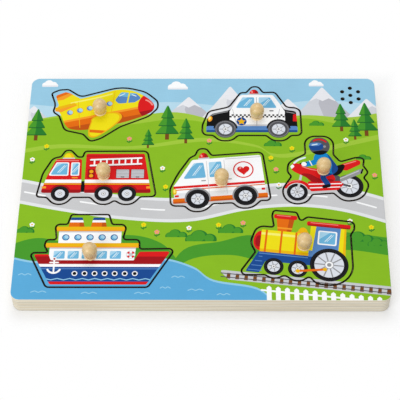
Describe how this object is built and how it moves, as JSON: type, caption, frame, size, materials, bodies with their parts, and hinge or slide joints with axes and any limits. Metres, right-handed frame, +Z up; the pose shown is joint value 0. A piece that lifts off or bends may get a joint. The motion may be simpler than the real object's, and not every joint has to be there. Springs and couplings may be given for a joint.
{
  "type": "peg puzzle",
  "caption": "Flat wooden sound puzzle: a layered plywood board with printed vehicle pieces that lift out of fitted pockets by turned knobs.",
  "frame": {"origin": "middle of the board's flat back face", "axes": "+X along the board's long side, +Y towards its far long edge, +Z up through the pieces and knobs"},
  "size_m": [0.3, 0.225, 0.033],
  "materials": {
    "printed_plywood": "birch plywood with a bright printed and lacquered face",
    "plywood": "sanded birch plywood, clear lacquer",
    "knob_wood": "turned pale hardwood, satin",
    "steel": "zinc plated",
    "black_plastic": "fine moulded texture",
    "circuit_green": "solder mask",
    "capacitor_sleeve": "shrunk sleeve",
    "sensor_resin": "clear lacquer over a light cell",
    "magnet_iron": "dark sintered",
    "speaker_film": "thin clear film",
    "foam": "open foam",
    "red_wire": "smooth sleeve",
    "black_wire": "smooth sleeve",
    "cell_jacket": "steel can in a printed film jacket of two plain colours, dark green and white"
  },
  "bodies": {
    "board": {"front_board": "printed_plywood", "floor_board": "plywood", "core_board": "plywood", "back_board": "plywood", "back_screws": "steel", "airplane_sensor": "sensor_resin", "police_car_sensor": "sensor_resin", "fire_engine_sensor": "sensor_resin", "ambulance_sensor": "sensor_resin", "motorbike_sensor": "sensor_resin", "ship_sensor": "sensor_resin", "locomotive_sensor": "sensor_resin", "circuit_board": "circuit_green", "sound_chip": "black_plastic", "amplifier_chip": "black_plastic", "storage_capacitor": "capacitor_sleeve", "resistors": "black_plastic", "circuit_screws": "steel", "speaker_basket": "steel", "speaker_magnet": "magnet_iron", "speaker_cone": "speaker_film", "speaker_gasket": "foam", "sensor_wires": "red_wire", "speaker_wires": "red_wire", "battery_wires": "black_wire", "battery_box": "black_plastic", "box_screws": "steel", "left_cell": "cell_jacket", "right_cell": "cell_jacket", "contact_springs": "steel", "contact_plates": "steel"},
    "airplane": {"airplane_piece": "printed_plywood", "airplane_knob": "knob_wood", "airplane_screw": "steel"},
    "police_car": {"police_car_piece": "printed_plywood", "police_car_knob": "knob_wood", "police_car_screw": "steel"},
    "fire_engine": {"fire_engine_piece": "printed_plywood", "fire_engine_knob": "knob_wood", "fire_engine_screw": "steel"},
    "ambulance": {"ambulance_piece": "printed_plywood", "ambulance_knob": "knob_wood", "ambulance_screw": "steel"},
    "motorbike": {"motorbike_piece": "printed_plywood", "motorbike_knob": "knob_wood", "motorbike_screw": "steel"},
    "ship": {"ship_piece": "printed_plywood", "ship_knob": "knob_wood", "ship_screw": "steel"},
    "locomotive": {"locomotive_piece": "printed_plywood", "locomotive_knob": "knob_wood", "locomotive_screw": "steel"},
    "battery_door": {"battery_door": "black_plastic", "door_screw": "steel"}
  },
  "joints": [
    {"name": "airplane_lift", "type": "slide", "parent": "board", "child": "airplane", "axis": [0, 0, 1], "range_m": [0, 0.04]},
    {"name": "police_car_lift", "type": "slide", "parent": "board", "child": "police_car", "axis": [0, 0, 1], "range_m": [0, 0.04]},
    {"name": "fire_engine_lift", "type": "slide", "parent": "board", "child": "fire_engine", "axis": [0, 0, 1], "range_m": [0, 0.04]},
    {"name": "ambulance_lift", "type": "slide", "parent": "board", "child": "ambulance", "axis": [0, 0, 1], "range_m": [0, 0.04]},
    {"name": "motorbike_lift", "type": "slide", "parent": "board", "child": "motorbike", "axis": [0, 0, 1], "range_m": [0, 0.04]},
    {"name": "ship_lift", "type": "slide", "parent": "board", "child": "ship", "axis": [0, 0, 1], "range_m": [0, 0.04]},
    {"name": "locomotive_lift", "type": "slide", "parent": "board", "child": "locomotive", "axis": [0, 0, 1], "range_m": [0, 0.04]},
    {"name": "battery_door_hinge", "type": "hinge", "parent": "board", "child": "battery_door", "pos_m": [0.003, -0.09872, 0.001], "axis": [-1, 0, 0], "range_deg": [0, 35]}
  ]
}
